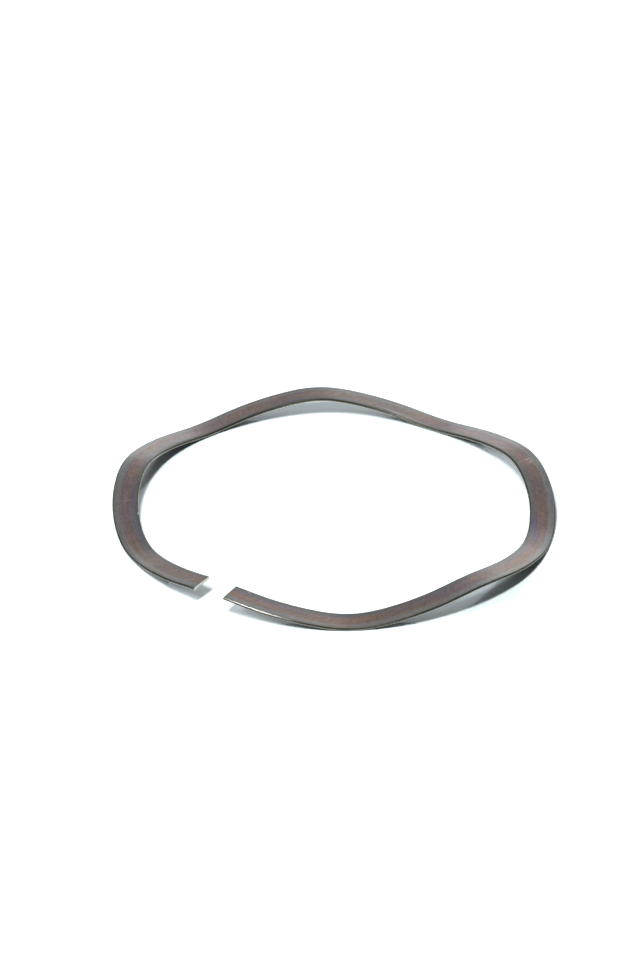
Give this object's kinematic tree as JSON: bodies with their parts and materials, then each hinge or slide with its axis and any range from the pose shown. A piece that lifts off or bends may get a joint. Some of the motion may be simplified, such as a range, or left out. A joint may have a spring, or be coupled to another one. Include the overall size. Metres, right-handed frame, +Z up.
{
  "type": "wave spring washer",
  "caption": "Gap-type wave spring washer: one turn of flat spring-steel wire, coiled on edge, waved all round and cut open on a crest.",
  "frame": {"origin": "on the axis of the ring, in the plane that the undersides of the troughs stand on", "axes": "+Z up along the ring's axis; -Y towards the crest that the cut ends split; +X to the right when the split is seen from outside"},
  "size_m": [0.1, 0.0999, 0.0049],
  "materials": {
    "tempered_spring_steel": "satin, brown and blue-grey heat tint"
  },
  "bodies": {
    "root": {"wave_washer": "tempered_spring_steel"}
  },
  "joints": []
}
